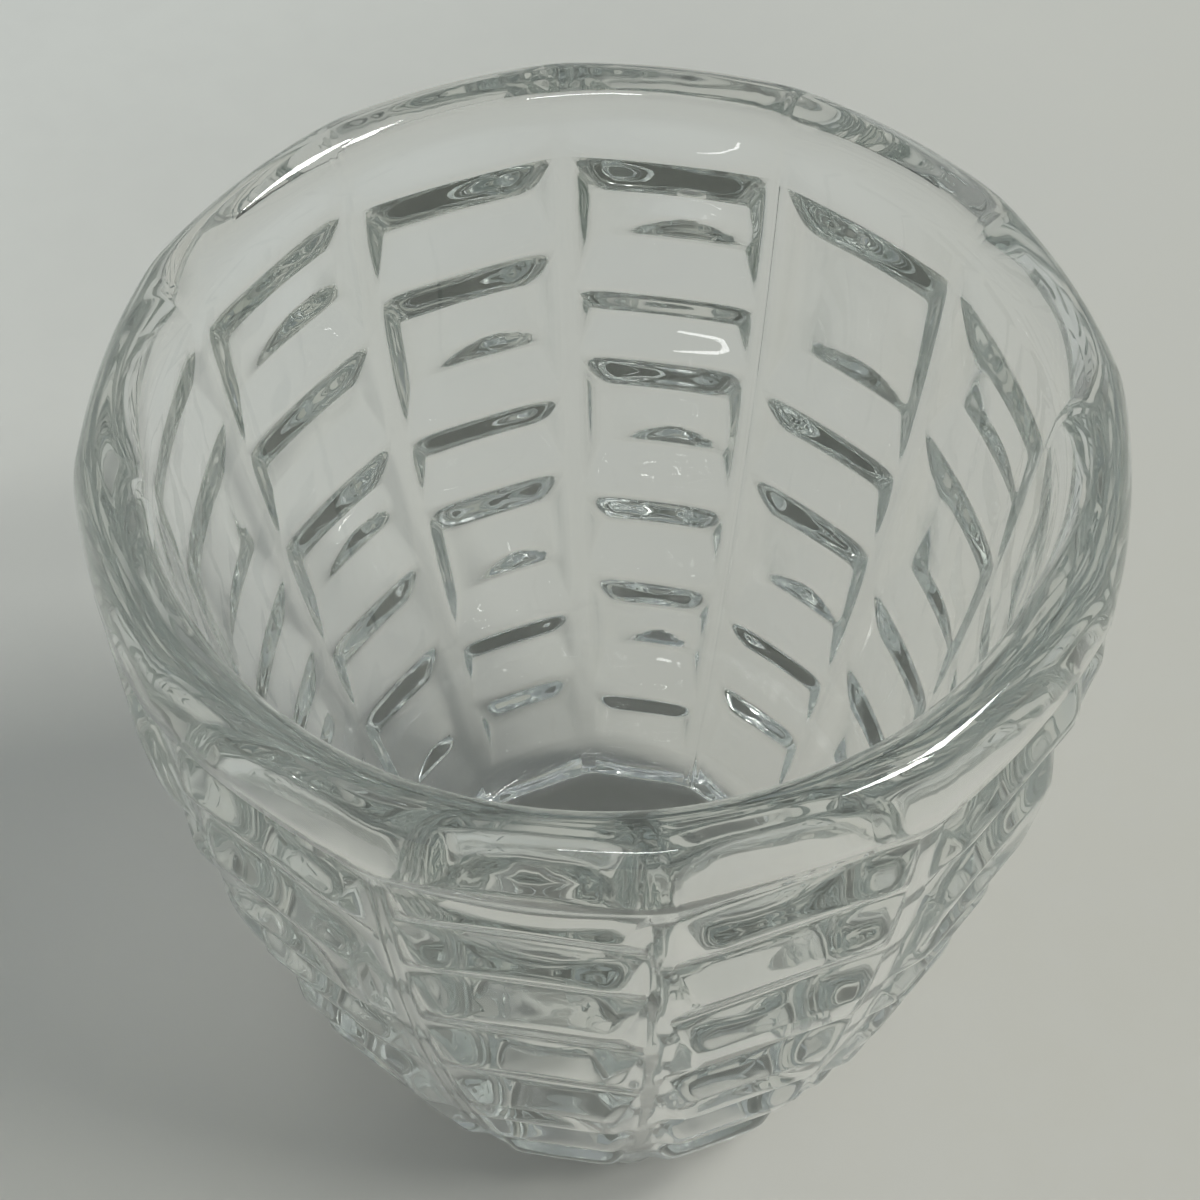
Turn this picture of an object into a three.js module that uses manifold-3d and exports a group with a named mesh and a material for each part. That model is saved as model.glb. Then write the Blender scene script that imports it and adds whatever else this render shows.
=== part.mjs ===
// A pressed mixing glass: one piece of heavy clear glass with a rounded lip, a tapering bowl,
// and twelve upright columns of raised wedge-shaped blocks on the outside. The inside is smooth.
// Millimetres, +Z up, origin at the middle of the underside of the base.
import * as THREE from 'three';
import { ConvexGeometry } from 'three/addons/geometries/ConvexGeometry.js';
import { mergeVertices } from 'three/addons/utils/BufferGeometryUtils.js';
import Module from 'manifold-3d';

// Driving dimensions.
const HEIGHT = 101;
const RIM_RADIUS = 46;
const BASE_RADIUS = 25.8;
const WALL_BULGE = 5.15;          // how far the outer wall bows out from a straight taper, at half height
const BORE_RADIUS = 39.1;         // inside, just below the lip
const FLOOR_RADIUS = 22;          // inside, where the wall meets the floor fillet
const BORE_BULGE = 2.3;
const FLOOR_THICKNESS = 12.5;
const FLOOR_FILLET = 4;
const FILLET_BEVEL_IN = 0.4;      // where the fillet's middle point lies, as shares of its size
const FILLET_BEVEL_UP = 0.25;
const FLOOR_CROWN = 0.8;          // the floor rises a little towards its middle
const BASE_EDGE = 1.5;            // rounded edge round the underside
const PUNT_RADIUS = 17;           // shallow hollow under the base
const PUNT_DEPTH = 1.2;
const LIP_DROP = 5;               // height of the rounded lip

const COLUMNS = 12;
const COLUMN_ANGLE = 2 * Math.PI / COLUMNS;
const FIRST_VALLEY = Math.PI / 2 + 0.094;  // azimuth of the valley before column 0
const SEGMENTS_PER_COLUMN = 4;

// Each column is a stack of raised blocks. A block slopes out over a ledge to a ridge near its top,
// and its face runs back in to the ground at its foot.
// The numbers are where each block starts, below the rim; the last one is where the stack ends.
const BLOCK_TOPS = [
  [11, 28, 36.5, 55.5, 67, 84, 92],
  [11.5, 38, 49.5, 70, 79, 92],
  [12, 30, 53.5, 65, 84, 92],
  [11, 33, 45, 66, 77, 92],
  [10, 21, 43, 54, 75, 85, 92],
  [10, 19, 31, 46, 64, 78, 92],
  [7, 16, 25, 38, 51, 68, 80, 92],
  [10, 20, 41, 53, 73, 84, 92],
  [9, 30, 42, 63, 74, 92],
  [8.5, 21, 44, 55, 73, 82, 92],
  [9, 27, 41, 58, 69.5, 92],
  [11, 22.5, 42, 52, 72, 80.5, 92],
];
const BLOCK_DEPTH = 2.6;          // how far a block stands out at its ridge
const LEDGE_HEIGHT = 5.2;         // from the top of a block down to its ridge
const LEDGE_SHARE = 0.45;         // the most a ledge may take of a short block
const BLOCK_CROWN = 1.1;          // how far the flat faces stand outside the chord of their column
const SIDE_SLOPE = 1;             // rise over run of a block's side faces
const TALL_BLOCK = 14;            // taller blocks keep their full depth and end in a short ramp
const RAMP_LENGTH = 6;
const LAND_HALF_WIDTH = 1.4;      // half the plain strip between two columns
const LAND_DROP = 1.7;            // how far the plain strips lie inside the outline
const BLOCK_ROOT = 1;             // how far the blocks reach into the body behind them

// The face of a tall block is a shallow hollow, deepest just above a second, smaller ledge.
const HOLLOW_DEPTH = 1.7;
const HOLLOW_LEDGE = 4;           // from the deepest point down to the foot ramp
const HOLLOW_MARGIN = 0.4;        // plain strip left above and below the hollow
const HOLLOW_HALF_WIDTH = 0.8;    // as a share of half the flat face
const HOLLOW_SHIFT = -0.2;        // to one side, as a share of half the flat face
const HOLLOW_REACH = 3;           // how far the cutter stands out of the glass

const OUTLINE_TOLERANCE = 0.01;
const WELD_DISTANCE = 1e-4;

const wasm = await Module();
wasm.setup();

function toSolid(geometry) {
  geometry.deleteAttribute('normal');
  geometry.deleteAttribute('uv');
  const merged = mergeVertices(geometry, WELD_DISTANCE);
  return new wasm.Manifold(new wasm.Mesh({
    numProp: 3,
    vertProperties: merged.attributes.position.array,
    triVerts: new Uint32Array(merged.index.array),
  }));
}

function toGeometry(solid) {
  const mesh = solid.getMesh();
  const geometry = new THREE.BufferGeometry();
  geometry.setAttribute('position', new THREE.BufferAttribute(mesh.vertProperties, 3));
  geometry.setIndex(new THREE.BufferAttribute(mesh.triVerts, 1));
  geometry.computeVertexNormals();
  return geometry;
}

// Radius of the outer wall at a depth below the rim.
function outerRadius(depth) {
  const s = depth / HEIGHT;
  return RIM_RADIUS + (BASE_RADIUS - RIM_RADIUS) * s + 4 * WALL_BULGE * s * (1 - s);
}

// Radius of the smooth inner wall at a depth below the rim.
function innerRadius(depth) {
  const s = depth / (HEIGHT - FLOOR_THICKNESS);
  return BORE_RADIUS + (FLOOR_RADIUS - BORE_RADIUS) * s + 4 * BORE_BULGE * s * (1 - s);
}

// The half section, from the middle of the underside, up the outside, over the lip and down the inside.
function section() {
  const points = [
    new THREE.Vector2(0, PUNT_DEPTH),
    new THREE.Vector2(PUNT_RADIUS, PUNT_DEPTH),
    new THREE.Vector2(PUNT_RADIUS + PUNT_DEPTH, 0),
    new THREE.Vector2(BASE_RADIUS - BASE_EDGE, 0),
  ];
  const deepestTop = Math.max(...BLOCK_TOPS.map((tops) => tops[0]));
  const wallRows = 9;
  for (let i = 0; i < wallRows; i += 1) {
    const depth = HEIGHT - BASE_EDGE - (HEIGHT - BASE_EDGE - deepestTop) * i / wallRows;
    points.push(new THREE.Vector2(outerRadius(depth), HEIGHT - depth));
  }
  const shoulderRows = 5;
  for (let i = 0; i <= shoulderRows; i += 1) {
    const depth = deepestTop - (deepestTop - LIP_DROP) * i / shoulderRows;
    points.push(new THREE.Vector2(outerRadius(depth), HEIGHT - depth));
  }
  const lipOuter = outerRadius(LIP_DROP);
  const lipInner = innerRadius(LIP_DROP);
  const lipSteps = 6;
  for (let i = 1; i < lipSteps; i += 1) {
    const turn = Math.PI * i / lipSteps;
    const middle = (lipOuter + lipInner) / 2;
    const radius = middle + (lipOuter - lipInner) / 2 * Math.cos(turn);
    points.push(new THREE.Vector2(radius, HEIGHT - LIP_DROP + LIP_DROP * Math.sin(turn)));
  }
  const innerRows = 8;
  const lastDepth = HEIGHT - FLOOR_THICKNESS - FLOOR_FILLET;
  for (let i = 0; i <= innerRows; i += 1) {
    const depth = LIP_DROP + (lastDepth - LIP_DROP) * i / innerRows;
    points.push(new THREE.Vector2(innerRadius(depth), HEIGHT - depth));
  }
  const wallFoot = innerRadius(lastDepth);
  const bevelRadius = wallFoot - FLOOR_FILLET * FILLET_BEVEL_IN;
  points.push(new THREE.Vector2(bevelRadius, FLOOR_THICKNESS + FLOOR_FILLET * FILLET_BEVEL_UP));
  points.push(new THREE.Vector2(wallFoot - FLOOR_FILLET, FLOOR_THICKNESS));
  points.push(new THREE.Vector2(0, FLOOR_THICKNESS + FLOOR_CROWN));
  return points;
}

// How far out the ground behind the blocks lies, measured from the axis square to a column.
function groundLevel(depth) {
  return outerRadius(depth) * Math.cos(COLUMN_ANGLE / 2) + BLOCK_CROWN - BLOCK_DEPTH;
}

// Depth of the first block next to a point that is this many columns round from the first valley.
function firstTop(turns) {
  const before = BLOCK_TOPS[(Math.floor(turns + OUTLINE_TOLERANCE) + COLUMNS) % COLUMNS][0];
  const after = BLOCK_TOPS[(Math.ceil(turns - OUTLINE_TOLERANCE) - 1 + COLUMNS) % COLUMNS][0];
  return Math.min(before, after);
}

// Sinks the outside in to the flat ground of each column, starting from the round lip.
function sinkGround(geometry) {
  const position = geometry.attributes.position;
  for (let i = 0; i < position.count; i += 1) {
    const x = position.getX(i);
    const y = position.getY(i);
    const depth = HEIGHT - position.getZ(i);
    const radius = Math.hypot(x, y);
    const turns = (FIRST_VALLEY - Math.atan2(y, x)) / COLUMN_ANGLE;
    const fromValley = Math.abs(turns - Math.round(turns)) * COLUMN_ANGLE;
    const onWall = depth > LIP_DROP - OUTLINE_TOLERANCE && depth < HEIGHT - BASE_EDGE + OUTLINE_TOLERANCE;
    if (onWall && radius > outerRadius(depth) - OUTLINE_TOLERANCE) {
      const flat = groundLevel(depth) / Math.cos(COLUMN_ANGLE / 2 - fromValley);
      const ground = Math.min(flat, (outerRadius(depth) - LAND_DROP) / Math.cos(fromValley));
      const top = firstTop((turns + COLUMNS) % COLUMNS);
      const sunk = Math.min((depth - LIP_DROP) / (top - LIP_DROP), 1);
      const scale = (radius + (ground - radius) * sunk) / radius;
      position.setX(i, x * scale);
      position.setY(i, y * scale);
    }
  }
  return geometry;
}

function makeBody() {
  const segments = COLUMNS * SEGMENTS_PER_COLUMN;
  const lathe = new THREE.LatheGeometry(section(), segments);
  lathe.rotateX(Math.PI / 2);
  lathe.rotateZ(FIRST_VALLEY);
  return toSolid(sinkGround(lathe));
}

// Half the width of a block at a depth, measured across the column.
function blockHalfWidth(depth) {
  return outerRadius(depth) * Math.sin(COLUMN_ANGLE / 2) - LAND_HALF_WIDTH;
}

// Half the width of a block's flat face at a depth, inside its leaning sides.
function faceHalfWidth(depth, proud) {
  return blockHalfWidth(depth) - proud / SIDE_SLOPE;
}

// Where a block's ridge and foot ramp begin, and how far it stands out.
function blockShape(top, bottom) {
  const ridge = top + Math.min(LEDGE_HEIGHT, LEDGE_SHARE * (bottom - top));
  const ramp = bottom - top < TALL_BLOCK ? ridge : bottom - RAMP_LENGTH;
  const proud = BLOCK_DEPTH * Math.sqrt(outerRadius(ridge) / RIM_RADIUS);
  return { ridge, ramp, proud };
}

// Turns a convex shape made at azimuth 0 round to its column.
function placeInColumn(points, column) {
  const shape = new ConvexGeometry(points);
  shape.rotateZ(FIRST_VALLEY - (column + 0.5) * COLUMN_ANGLE);
  return toSolid(shape);
}

// One block: a ledge out to the ridge, a face, leaning sides, and a root inside the body.
function makeBlock(column, top, bottom) {
  const { ridge, ramp, proud } = blockShape(top, bottom);
  const points = [];
  for (const side of [-1, 1]) {
    for (const depth of [top, bottom]) {
      const edge = side * blockHalfWidth(depth);
      points.push(new THREE.Vector3(groundLevel(depth), edge, HEIGHT - depth));
      points.push(new THREE.Vector3(groundLevel(depth) - BLOCK_ROOT, edge, HEIGHT - depth));
    }
    for (const depth of new Set([ridge, ramp])) {
      const edge = side * faceHalfWidth(depth, proud);
      points.push(new THREE.Vector3(groundLevel(depth) + proud, edge, HEIGHT - depth));
    }
  }
  return placeInColumn(points, column);
}

// The cutter for the hollow in a tall block, or null when the block has no room for one.
function makeHollow(column, top, bottom) {
  const { ridge, ramp, proud } = blockShape(top, bottom);
  const deepest = ramp - HOLLOW_LEDGE;
  if (deepest <= ridge) {
    return null;
  }
  const points = [new THREE.Vector3(
    groundLevel(deepest) + proud - HOLLOW_DEPTH,
    HOLLOW_SHIFT * faceHalfWidth(deepest, proud),
    HEIGHT - deepest,
  )];
  for (const side of [-1, 1]) {
    for (const depth of [ridge + HOLLOW_MARGIN, ramp - HOLLOW_MARGIN]) {
      const edge = (HOLLOW_SHIFT + side * HOLLOW_HALF_WIDTH) * faceHalfWidth(depth, proud);
      const face = groundLevel(depth) + proud;
      points.push(new THREE.Vector3(face, edge, HEIGHT - depth));
      points.push(new THREE.Vector3(face + HOLLOW_REACH, edge, HEIGHT - depth));
    }
  }
  return placeInColumn(points, column);
}

function makeGlassBody() {
  let solid = makeBody();
  BLOCK_TOPS.forEach((tops, column) => {
    for (let i = 0; i + 1 < tops.length; i += 1) {
      solid = solid.add(makeBlock(column, tops[i], tops[i + 1]));
      const hollow = makeHollow(column, tops[i], tops[i + 1]);
      if (hollow) {
        solid = solid.subtract(hollow);
      }
    }
  });
  const glass = new THREE.MeshStandardMaterial({ color: 0xdfe8e2, roughness: 0.04, metalness: 0 });
  const mesh = new THREE.Mesh(toGeometry(solid), glass);
  mesh.name = 'glass_body';
  return mesh;
}

const mixingGlass = new THREE.Group();
mixingGlass.add(makeGlassBody());

export default mixingGlass;
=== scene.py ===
"""A pressed mixing glass on a pale table: one piece of clear glass with a rounded lip, a smooth
inside, and twelve upright columns of raised wedge-shaped blocks on the outside.
"""
import math

import bpy
import numpy as np
from mathutils import Matrix, Vector


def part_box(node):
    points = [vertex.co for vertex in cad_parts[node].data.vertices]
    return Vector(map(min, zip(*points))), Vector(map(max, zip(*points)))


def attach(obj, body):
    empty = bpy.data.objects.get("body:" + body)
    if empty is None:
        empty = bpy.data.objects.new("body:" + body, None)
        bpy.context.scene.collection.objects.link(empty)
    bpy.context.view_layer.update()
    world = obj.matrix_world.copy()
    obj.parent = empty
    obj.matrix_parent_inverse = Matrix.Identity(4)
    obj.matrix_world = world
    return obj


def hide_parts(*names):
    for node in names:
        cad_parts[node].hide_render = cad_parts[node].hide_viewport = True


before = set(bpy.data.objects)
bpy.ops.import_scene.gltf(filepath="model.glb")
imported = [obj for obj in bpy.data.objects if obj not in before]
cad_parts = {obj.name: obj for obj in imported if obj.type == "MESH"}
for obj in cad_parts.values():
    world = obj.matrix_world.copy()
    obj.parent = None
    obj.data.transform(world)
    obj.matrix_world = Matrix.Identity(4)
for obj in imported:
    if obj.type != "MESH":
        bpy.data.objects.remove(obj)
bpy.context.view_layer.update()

MM = 0.001

# Shape of the glass in millimetres, the same dimensions as the CAD body.
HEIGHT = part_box("glass_body")[1].z / MM
RIM_RADIUS = 46.0
BASE_RADIUS = 25.8
WALL_BULGE = 5.15
BORE_RADIUS = 39.1
FLOOR_RADIUS = 22.0
BORE_BULGE = 2.3
FLOOR_THICKNESS = 12.5
FLOOR_FILLET = 4.0
FLOOR_CROWN = 0.8
BASE_EDGE = 1.5
PUNT_RADIUS = 17.0
PUNT_DEPTH = 1.2
PUNT_SAG = 0.25            # the hollow is shallower towards its edge, by this share
PUNT_STEP = ((0.42, 0.6), (0.96, 0.12), (1.5, 0.0))   # out from the hollow's edge, and height
LIP_DROP = 5.0
LIP_SQUARENESS = 2.2
LIP_SHOULDER = 6.8         # the lip rounds over from this depth on the outside

COLUMNS = 12
COLUMN_ANGLE = 2 * math.pi / COLUMNS
FIRST_VALLEY = math.pi / 2 + 0.094

# Where each raised block starts, below the rim; the last number of a column is where its stack ends.
BLOCK_TOPS = [
    [11, 28, 36.5, 55.5, 67, 84, 92],
    [11.5, 38, 49.5, 70, 79, 92],
    [12, 30, 53.5, 65, 84, 92],
    [11, 33, 45, 66, 77, 92],
    [10, 21, 43, 54, 75, 85, 92],
    [10, 19, 31, 46, 64, 78, 92],
    [7, 16, 25, 38, 51, 68, 80, 92],
    [10, 20, 41, 53, 73, 84, 92],
    [9, 30, 42, 63, 74, 92],
    [8.5, 21, 44, 55, 73, 82, 92],
    [9, 27, 41, 58, 69.5, 92],
    [11, 22.5, 42, 52, 72, 80.5, 92],
]
BLOCK_DEPTH = 2.6          # how far a block stands out at its ridge
LEDGE_HEIGHT = 5.2         # the sloping ledge from the top of a block out to its ridge
LEDGE_SHARE = 0.45         # the most a ledge may take of a short block
BLOCK_CROWN = 1.1          # how far the flat faces stand outside the chord of their column
GROUND_HOLLOW = 0.6        # how hollow the ground behind the blocks is, across a column
LAND_HALF_WIDTH = 1.4      # half the plain strip between two columns
LAND_DROP = 1.7            # how far the plain strips lie inside the outline
SIDE_SLOPE = 1.0           # the side faces lean at 45 degrees
TALL_BLOCK = 14.0          # taller blocks keep their full depth and end in a short ramp
RAMP_LENGTH = 6.0          # the foot of a tall block

# The face of a tall block is hollow, deepest just above a second, smaller ledge.
HOLLOW_LEDGE = 4.0         # height of the second ledge where the hollow is deepest
HOLLOW_DEPTH = 1.7
HOLLOW_SHIFT = -0.2        # the hollow lies a little to one side, as a share of half the block
HOLLOW_HALF_WIDTH = 0.8
HOLLOW_LEAST = 0.02        # keeps the second ledge from having no height at the hollow's sides

FADE_START = 5.5           # the ground starts to sink in at this depth below the rim
FADE_END = 10.5
EDGE_ROUND = 0.55          # softness of the ridges and creases
LAND_ROUND = 0.12          # softness of the edges of the plain strips
MOULD_SEAMS = (1, 7)       # a fine seam runs down the plain strip before these columns
SEAM_HEIGHT = 0.25
LEAST_SIDE = 0.15          # least width kept for the side faces, so no two points meet

# How finely the glass is divided.
BLOCK_ROWS = 210           # shared by the 5, 6 or 7 blocks of a column
TALL_ROW_SHARES = (0.36, 0.22, 0.18)   # ledge, hollow and second ledge; the foot has the rest
SHORT_ROW_SHARES = (0.40, 0.0, 0.0)
BAND_ROWS = 5
FOOT_ROWS = 5
LAND_SAMPLES = (0.0, 0.22, 0.85, 1.0)
SIDE_SAMPLES = 4
FACE_SAMPLES = 6
INNER_ROWS = 44
LIP_ROWS = 12
FILLET_ROWS = 8
FLOOR_ROWS = 14
EDGE_ROWS = 6
PUNT_RINGS = (0.12, 0.3, 0.5, 0.7, 0.88, 1.0)

FLOOR_REACH = 3.0          # metres
FLOOR_GAP = 0.0002         # metres between the glass and the table, so their faces don't meet
GLASS_CLEAR = (1.0, 1.0, 1.0, 1)
GLASS_CLOUDY = (0.985, 0.99, 0.985, 1)
GLASS_BODY = (0.80, 0.825, 0.80, 1)
GLASS_DENSITY = 19.0
# Table colours at the back left and at the near right; the darker, warmer one is painted shade standing
# in for light falling off across the table
FLOOR_LIT_COOL = (0.60, 0.615, 0.58, 1)
FLOOR_SHADED_WARM = (0.44, 0.43, 0.375, 1)
FLOOR_MARK = (0.50, 0.505, 0.48, 1)

CAMERA_PLACE = (0, -0.137, 0.2578)
CAMERA_AIM = (-0.00055, 0, 0.0731)
CAMERA_ROLL = -0.76        # degrees
CAMERA_LENS = 73.7
LIGHT_AIM = (0, 0, 0.04)

# Azimuth, elevation, distance, size, power and colour of each light.
LIGHTS = {
    "key": (2, 57, 3.2, (0.7, 0.7), 47, (1, 0.99, 0.965)),
    "second": (-25, 54, 3.2, (0.5, 0.5), 26, (1, 0.99, 0.965)),
    "strip": (-86, 40, 1.2, (0.5, 0.05), 1.6, (1, 1, 1)),
}
WORLD_COLOUR = (0.305, 0.33, 0.345, 1)
LIGHT_BOUNCES = 28         # the blocks turn light round inside the glass many times


def smooth_max(a, b, width):
    """The larger of two values, with the corner between them rounded."""
    return 0.5 * (a + b + np.sqrt((a - b) ** 2 + width * width))


def smooth_min(a, b, width):
    """The smaller of two values, with the corner between them rounded."""
    return 0.5 * (a + b - np.sqrt((a - b) ** 2 + width * width))


def outer_radius(depth):
    """Radius of the outline at a depth below the rim."""
    s = depth / HEIGHT
    return RIM_RADIUS + (BASE_RADIUS - RIM_RADIUS) * s + 4 * WALL_BULGE * s * (1 - s)


def inner_radius(depth):
    """Radius of the smooth inner wall at a depth below the rim."""
    s = depth / (HEIGHT - FLOOR_THICKNESS)
    return BORE_RADIUS + (FLOOR_RADIUS - BORE_RADIUS) * s + 4 * BORE_BULGE * s * (1 - s)


def ground_level(depth):
    """How far out the ground behind the blocks lies, measured from the axis square to a column."""
    return outer_radius(depth) * math.cos(COLUMN_ANGLE / 2) + BLOCK_CROWN - BLOCK_DEPTH


def block_half_width(depth):
    """Half the width of a block at its foot on the ground."""
    return outer_radius(depth) * math.sin(COLUMN_ANGLE / 2) - LAND_HALF_WIDTH


def ease(x):
    """0 to 1, slow at both ends."""
    return 0.5 - 0.5 * np.cos(np.pi * x)


def block_marks(top, bottom):
    """Depths of one block: its top, its ridge, the start and the end of the small ledge, its foot."""
    ridge = top + min(LEDGE_HEIGHT, LEDGE_SHARE * (bottom - top))
    if bottom - top < TALL_BLOCK:
        return top, ridge, ridge, ridge, bottom
    bend = bottom - RAMP_LENGTH
    return top, ridge, max(ridge, bend - HOLLOW_LEDGE), bend, bottom


def column_depths(tops):
    """The depth of every row of one column, packed close at the edges of its blocks."""
    rows = [LIP_SHOULDER + (tops[0] - LIP_SHOULDER) * np.arange(BAND_ROWS) / BAND_ROWS]
    per_block = BLOCK_ROWS // (len(tops) - 1)
    for top, bottom in zip(tops[:-1], tops[1:]):
        marks = block_marks(top, bottom)
        shares = TALL_ROW_SHARES if marks[2] > marks[1] else SHORT_ROW_SHARES
        counts = [int(per_block * s) for s in shares]
        counts.append(per_block - sum(counts))
        for start, end, count in zip(marks[:-1], marks[1:], counts):
            if count:
                rows.append(start + (end - start) * ease(np.arange(count) / count))
    foot_end = HEIGHT - BASE_EDGE
    rows.append(tops[-1] + (foot_end - tops[-1]) * np.arange(FOOT_ROWS + 1) / FOOT_ROWS)
    return np.concatenate(rows)


def ridge_depth(depth):
    """How far a block whose ridge is at this depth stands out."""
    return BLOCK_DEPTH * np.sqrt(outer_radius(depth) / RIM_RADIUS)


def block_profile(marks, depth):
    """How far a block stands out at a depth, without its sides and its hollow."""
    top, ridge, _, bend, bottom = marks
    full = ridge_depth(ridge)
    ledge = full * (depth - top) / (ridge - top)
    ramp = full * (bottom - depth) / (bottom - bend)
    return ledge, ramp, full


def side_width(tops, depths):
    """How wide the side faces of the blocks are at each depth."""
    width = np.full(len(depths), 0.0)
    for top, bottom in zip(tops[:-1], tops[1:]):
        ledge, ramp, full = block_profile(block_marks(top, bottom), depths)
        width = np.maximum(width, np.minimum(np.minimum(ledge, ramp), full))
    return np.maximum(width / SIDE_SLOPE, LEAST_SIDE)


def face_level(marks, full, offset, depth):
    """How far the face of a block stands out: flat, or hollow with a second ledge when it is tall."""
    _, ridge, ledge_start, bend, _ = marks
    if ledge_start <= ridge:
        return np.full_like(depth, full)
    hollow = np.clip(1 - offset ** 2, HOLLOW_LEAST, 1)
    start = bend - (bend - ledge_start) * hollow
    falling = np.clip((depth - ridge) / (start - ridge), 0, 1)
    rising = np.clip((bend - depth) / (bend - start), 0, 1)
    return full - HOLLOW_DEPTH * hollow * np.minimum(falling, rising)


def column_radius(tops, angle, depth):
    """Radius of the outside of one column at angles from its middle and depths below the rim."""
    cos = np.cos(angle)
    across = np.abs(ground_level(depth) * np.tan(angle))
    half = block_half_width(depth)
    sunk = GROUND_HOLLOW * (1 - np.clip(across / half, 0, 1) ** 2)
    ground = ground_level(depth) - sunk
    offset = (np.sign(angle) * across / half - HOLLOW_SHIFT) / HOLLOW_HALF_WIDTH
    side = (half - across) * SIDE_SLOPE + sunk
    proud = np.zeros_like(depth)
    for top, bottom in zip(tops[:-1], tops[1:]):
        marks = block_marks(top, bottom)
        ledge, ramp, full = block_profile(marks, depth)
        face = face_level(marks, full, offset, depth) + sunk
        ends = smooth_min(ledge + sunk, ramp + sunk, EDGE_ROUND)
        block = smooth_min(ends, smooth_min(face, side, EDGE_ROUND), EDGE_ROUND)
        proud = smooth_max(proud, block, EDGE_ROUND)
    land = (outer_radius(depth) - LAND_DROP) / np.cos(COLUMN_ANGLE / 2 - np.abs(angle))
    relief = smooth_min(ground / cos, land, LAND_ROUND) + proud / cos
    fade_end = max(tops[0], FADE_END)
    fade = np.clip((depth - FADE_START) / (fade_end - FADE_START), 0, 1)
    return outer_radius(depth) * (1 - fade) + relief * fade


def half_angles(depth, side):
    """Angles from the middle of a column, from a valley to the middle, at one depth."""
    level = ground_level(depth)
    valley = COLUMN_ANGLE / 2
    edge = math.atan2(block_half_width(depth), level)
    face_edge = math.atan2(block_half_width(depth) - side, level)
    land = [valley + (edge - valley) * s for s in LAND_SAMPLES]
    sides = [edge + (face_edge - edge) * (i + 1) / SIDE_SAMPLES for i in range(SIDE_SAMPLES)]
    face = [face_edge * (1 - (i + 1) / FACE_SAMPLES) for i in range(FACE_SAMPLES)]
    return land + sides + face


def column_points(column, all_depths):
    """The outside of one column; its rows meet the rows of its neighbours half way at the valleys."""
    tops = BLOCK_TOPS[column]
    own = all_depths[column]
    before = all_depths[column - 1]
    after = all_depths[(column + 1) % COLUMNS]
    widths = side_width(tops, own)
    angles = []
    depths = []
    for k, depth in enumerate(own):
        half = half_angles(depth, widths[k])
        steps = len(half) - 1
        angles.append(half + [-a for a in half[-2:0:-1]])
        own_share = [0.5, 0.75] + [1.0] * (steps * 2 - 3) + [0.75]
        neighbour = [before[k]] * steps + [after[k]] * steps
        depths.append([depth * s + n * (1 - s) for s, n in zip(own_share, neighbour)])
    angles, depths = np.array(angles), np.array(depths)
    radius = column_radius(tops, angles, depths)
    if column in MOULD_SEAMS:
        radius[BAND_ROWS:, 0] += SEAM_HEIGHT
    azimuth = FIRST_VALLEY - (column + 0.5) * COLUMN_ANGLE + angles
    return np.stack([radius * np.cos(azimuth), radius * np.sin(azimuth), HEIGHT - depths], -1)


def outer_wall():
    """Rows of points down the outside, from under the lip to the base edge."""
    all_depths = [column_depths(tops) for tops in BLOCK_TOPS]
    return np.concatenate([column_points(i, all_depths) for i in range(COLUMNS)], axis=1)


def rings(azimuth, radii, heights):
    """Level rows of points, one for each radius and height; a radius may be one for each point."""
    rows = []
    for r, z in zip(radii, heights):
        r = np.broadcast_to(r, azimuth.shape)
        rows.append(np.stack([r * np.cos(azimuth), r * np.sin(azimuth), np.full(azimuth.shape, z)], -1))
    return rows


def lip(azimuth, outer):
    """The rounded lip, from outside to inside. It rounds over lower down on the outside."""
    radii = []
    heights = []
    inner = inner_radius(LIP_DROP)
    power = 2 / LIP_SQUARENESS
    for i in range(1, LIP_ROWS):
        turn = math.pi * i / LIP_ROWS
        x = math.copysign(abs(math.cos(turn)) ** power, math.cos(turn))
        y = abs(math.sin(turn)) ** power
        drop = LIP_SHOULDER if x > 0 else LIP_DROP
        radii.append((outer + inner) / 2 + (outer - inner) / 2 * x)
        heights.append(HEIGHT - drop + drop * y)
    return rings(azimuth, radii, heights)


def inside(azimuth):
    """The smooth inner wall, the fillet and the floor, from under the lip to near the middle."""
    radii = []
    heights = []
    last = HEIGHT - FLOOR_THICKNESS - FLOOR_FILLET
    for i in range(INNER_ROWS + 1):
        depth = LIP_DROP + (last - LIP_DROP) * i / INNER_ROWS
        radii.append(inner_radius(depth))
        heights.append(HEIGHT - depth)
    foot = radii[-1]
    for i in range(1, FILLET_ROWS + 1):
        turn = math.pi / 2 * i / FILLET_ROWS
        radii.append(foot - FLOOR_FILLET * (1 - math.cos(turn)))
        heights.append(FLOOR_THICKNESS + FLOOR_FILLET * (1 - math.sin(turn)))
    edge = radii[-1]
    for i in range(1, FLOOR_ROWS):
        s = 1 - i / FLOOR_ROWS
        radii.append(edge * s)
        heights.append(FLOOR_THICKNESS + FLOOR_CROWN * (1 - s * s))
    return rings(azimuth, radii, heights)


def underside(azimuth, foot_row):
    """From near the middle of the hollow under the base out to the foot of the wall."""
    radii = [PUNT_RADIUS * s for s in PUNT_RINGS]
    heights = [PUNT_DEPTH * (1 - PUNT_SAG * s * s) for s in PUNT_RINGS]
    for out, up in PUNT_STEP:
        radii.append(PUNT_RADIUS + out)
        heights.append(up)
    rows = rings(azimuth, radii, heights)
    outer = np.hypot(foot_row[:, 0], foot_row[:, 1])
    for i in range(EDGE_ROWS):
        turn = math.pi / 2 * i / EDGE_ROWS
        edge = outer - BASE_EDGE * (1 - math.sin(turn))
        rows += rings(azimuth, [edge], [BASE_EDGE * (1 - math.cos(turn))])
    return rows


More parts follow.
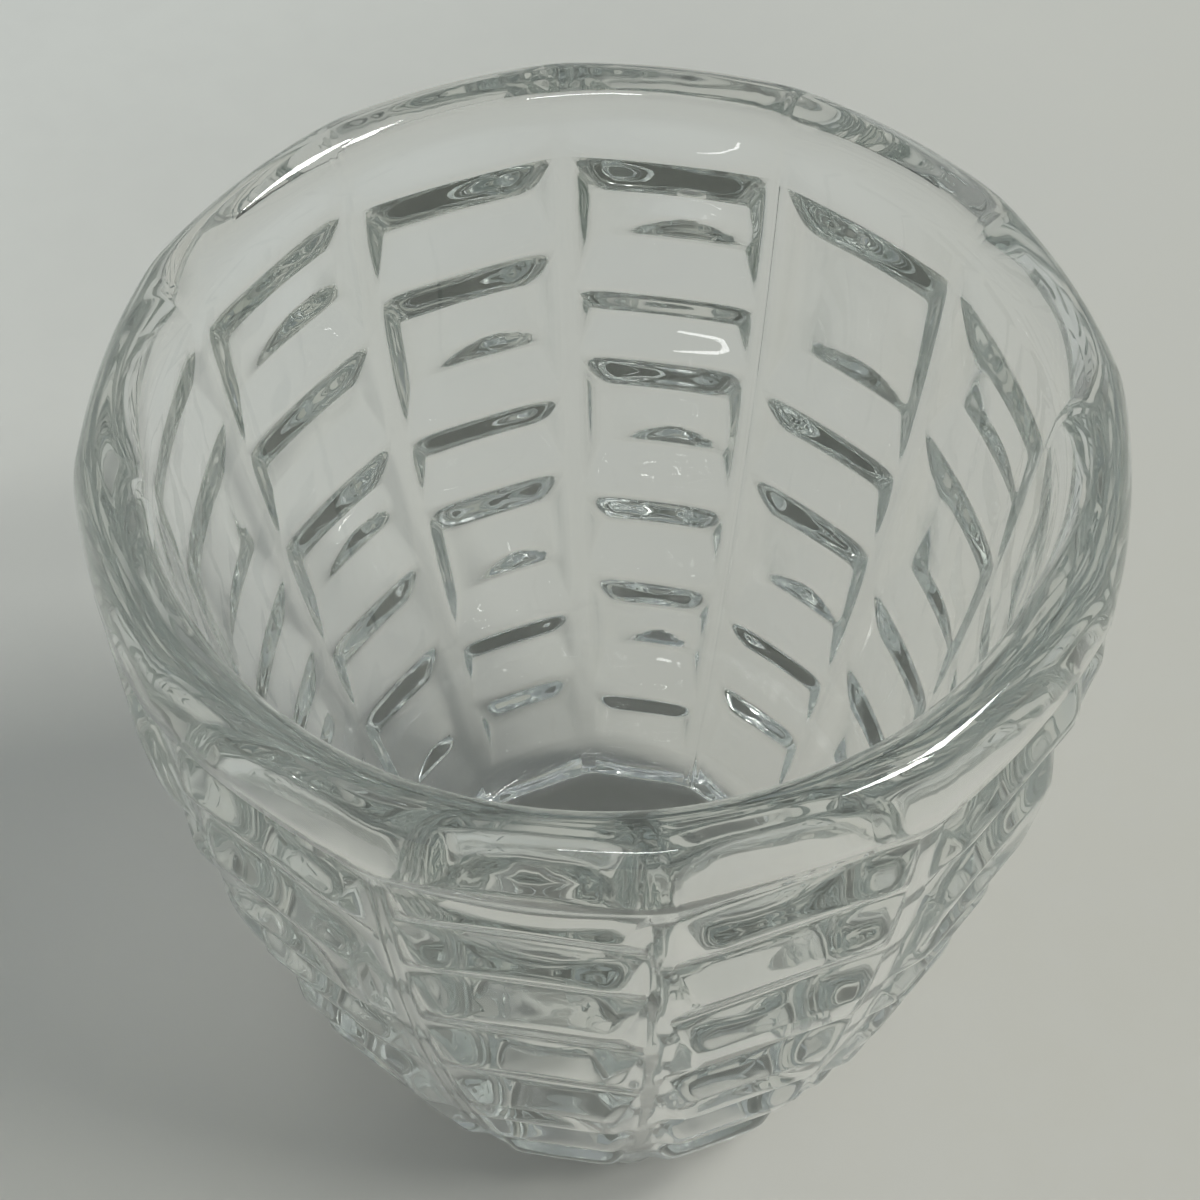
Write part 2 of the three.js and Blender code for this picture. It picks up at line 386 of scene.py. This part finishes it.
def skin(rows, low_middle, high_middle):
    """Points and faces of a closed surface through rows of points, with a middle point at each end."""
    count = len(rows[0])
    points = np.concatenate(rows + [np.array([low_middle, high_middle])])
    low = len(points) - 2
    last = low - count
    faces = []
    for k in range(len(rows) - 1):
        for j in range(count):
            n = (j + 1) % count
            faces.append((k * count + j, (k + 1) * count + j, (k + 1) * count + n, k * count + n))
    for j in range(count):
        n = (j + 1) % count
        faces.append((low, j, n))
        faces.append((low + 1, last + n, last + j))
    return points, faces


def make_glass():
    wall = outer_wall()
    top_row, foot_row = wall[0], wall[-1]
    azimuth_top = np.arctan2(top_row[:, 1], top_row[:, 0])
    azimuth_foot = np.arctan2(foot_row[:, 1], foot_row[:, 0])
    rows = underside(azimuth_foot, foot_row)
    rows += list(wall[::-1])
    rows += lip(azimuth_top, np.hypot(top_row[:, 0], top_row[:, 1]))
    rows += inside(azimuth_top)
    points, faces = skin(rows, (0, 0, PUNT_DEPTH), (0, 0, FLOOR_THICKNESS + FLOOR_CROWN))
    mesh = bpy.data.meshes.new("glass")
    mesh.from_pydata([tuple(p) for p in points * MM], [], faces)
    mesh.validate()
    mesh.polygons.foreach_set("use_smooth", [True] * len(mesh.polygons))
    glass = bpy.data.objects.new("mixing_glass", mesh)
    bpy.context.scene.collection.objects.link(glass)
    return glass


def new_material(name):
    material = bpy.data.materials.new(name)
    material.use_nodes = True
    tree = material.node_tree
    return material, tree, tree.nodes["Principled BSDF"]


def add_noise(tree, place, scale, detail):
    noise = tree.nodes.new("ShaderNodeTexNoise")
    noise.inputs["Scale"].default_value = scale
    noise.inputs["Detail"].default_value = detail
    tree.links.new(place.outputs["Object"], noise.inputs["Vector"])
    return noise.outputs["Fac"]


def add_range(tree, value, low, high, most):
    """A value between low and high, turned into 0 to most."""
    span = tree.nodes.new("ShaderNodeMapRange")
    span.inputs["From Min"].default_value = low
    span.inputs["From Max"].default_value = high
    span.inputs["To Max"].default_value = most
    tree.links.new(value, span.inputs["Value"])
    return span.outputs[0]


def add_mix(tree, factor, first, second):
    """A mix of two colours, each given as a colour or as the output of a node."""
    mix = tree.nodes.new("ShaderNodeMix")
    mix.data_type = "RGBA"
    tree.links.new(factor, mix.inputs["Factor"])
    sockets = [i for i in mix.inputs if i.type == "RGBA"]
    for socket, value in zip(sockets, (first, second)):
        if isinstance(value, tuple):
            socket.default_value = value
        else:
            tree.links.new(value, socket)
    return [o for o in mix.outputs if o.type == "RGBA"][0]


def glass_material():
    """Clear glass with a faint grey-green body colour and a surface that isn't quite even."""
    material, tree, shader = new_material("clear_pressed_glass")
    place = tree.nodes.new("ShaderNodeTexCoord")
    clouds = add_noise(tree, place, 60.0, 2.0)
    tint = add_mix(tree, add_range(tree, clouds, 0.35, 0.65, 1.0), GLASS_CLEAR, GLASS_CLOUDY)
    tree.links.new(tint, shader.inputs["Base Color"])
    shader.inputs["Roughness"].default_value = 0.0
    shader.inputs["IOR"].default_value = 1.52
    shader.inputs["Transmission Weight"].default_value = 1.0
    ripple = add_noise(tree, place, 90.0, 2.0)
    bump = tree.nodes.new("ShaderNodeBump")
    bump.inputs["Strength"].default_value = 0.25
    bump.inputs["Distance"].default_value = 0.0004
    tree.links.new(ripple, bump.inputs["Height"])
    tree.links.new(bump.outputs["Normal"], shader.inputs["Normal"])
    absorb = tree.nodes.new("ShaderNodeVolumeAbsorption")
    absorb.inputs["Color"].default_value = GLASS_BODY
    absorb.inputs["Density"].default_value = GLASS_DENSITY
    tree.links.new(absorb.outputs[0], tree.nodes["Material Output"].inputs["Volume"])
    return material


def floor_material():
    """Pale painted table, faintly marked; lighter and cooler at the back left, with painted shade that
    makes it darker and warmer towards the near right, standing in for light falling off across the
    table.
    """
    material, tree, shader = new_material("pale_table")
    place = tree.nodes.new("ShaderNodeTexCoord")
    split = tree.nodes.new("ShaderNodeSeparateXYZ")
    tree.links.new(place.outputs["Object"], split.inputs[0])
    lean = tree.nodes.new("ShaderNodeMath")
    lean.operation = "SUBTRACT"
    tree.links.new(split.outputs["X"], lean.inputs[0])
    tree.links.new(split.outputs["Y"], lean.inputs[1])
    # Painted shade: 0 at the back left, 1 at the near right, darkening and warming the table where the
    # light falls off
    painted_shade_share = add_range(tree, lean.outputs[0], -0.27, 0.15, 1.0)
    patches = add_noise(tree, place, 9.0, 3.0)
    speckle = add_noise(tree, place, 160.0, 4.0)
    tone = add_mix(tree, painted_shade_share, FLOOR_LIT_COOL, FLOOR_SHADED_WARM)
    marked = add_mix(tree, add_range(tree, patches, 0.45, 0.70, 0.35), tone, FLOOR_MARK)
    final = add_mix(tree, add_range(tree, speckle, 0.40, 0.70, 0.12), marked, FLOOR_MARK)
    tree.links.new(final, shader.inputs["Base Color"])
    shader.inputs["Roughness"].default_value = 0.55
    return material


def make_floor():
    corners = [(-1, -1), (1, -1), (1, 1), (-1, 1)]
    points = [(x * FLOOR_REACH, y * FLOOR_REACH, -FLOOR_GAP) for x, y in corners]
    mesh = bpy.data.meshes.new("table")
    mesh.from_pydata(points, [], [(0, 1, 2, 3)])
    floor = bpy.data.objects.new("table", mesh)
    bpy.context.scene.collection.objects.link(floor)
    mesh.materials.append(floor_material())


def make_light(name, azimuth, elevation, distance, size, power, colour):
    data = bpy.data.lights.new(name, "AREA")
    data.shape = "RECTANGLE"
    data.size, data.size_y = size
    data.energy = power
    data.color = colour
    light = bpy.data.objects.new(name, data)
    bpy.context.scene.collection.objects.link(light)
    a, e = math.radians(azimuth), math.radians(elevation)
    way = Vector((math.cos(e) * math.cos(a), math.cos(e) * math.sin(a), math.sin(e)))
    light.location = Vector(LIGHT_AIM) + way * distance
    light.rotation_mode = "QUATERNION"
    light.rotation_quaternion = way.to_track_quat("Z", "Y")


def make_lights():
    world = bpy.data.worlds.new("studio")
    bpy.context.scene.world = world
    world.use_nodes = True
    world.node_tree.nodes["Background"].inputs["Color"].default_value = WORLD_COLOUR
    for name, settings in LIGHTS.items():
        make_light(name, *settings)


def make_camera():
    data = bpy.data.cameras.new("camera")
    data.sensor_width = 36
    data.lens = CAMERA_LENS
    data.clip_start = 0.01
    camera = bpy.data.objects.new("camera", data)
    bpy.context.scene.collection.objects.link(camera)
    place, aim = Vector(CAMERA_PLACE), Vector(CAMERA_AIM)
    turn = (place - aim).to_track_quat("Z", "Y").to_matrix()
    turn = turn @ Matrix.Rotation(math.radians(CAMERA_ROLL), 3, "Z")
    camera.matrix_world = Matrix.Translation(place) @ turn.to_4x4()
    bpy.context.scene.camera = camera


make_camera()
glass = make_glass()
glass.data.materials.append(glass_material())
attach(glass, "root")
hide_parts("glass_body")
make_floor()
make_lights()

scene = bpy.context.scene
scene.view_settings.view_transform = "Standard"
scene.cycles.max_bounces = LIGHT_BOUNCES
scene.cycles.transmission_bounces = LIGHT_BOUNCES
scene.cycles.glossy_bounces = LIGHT_BOUNCES
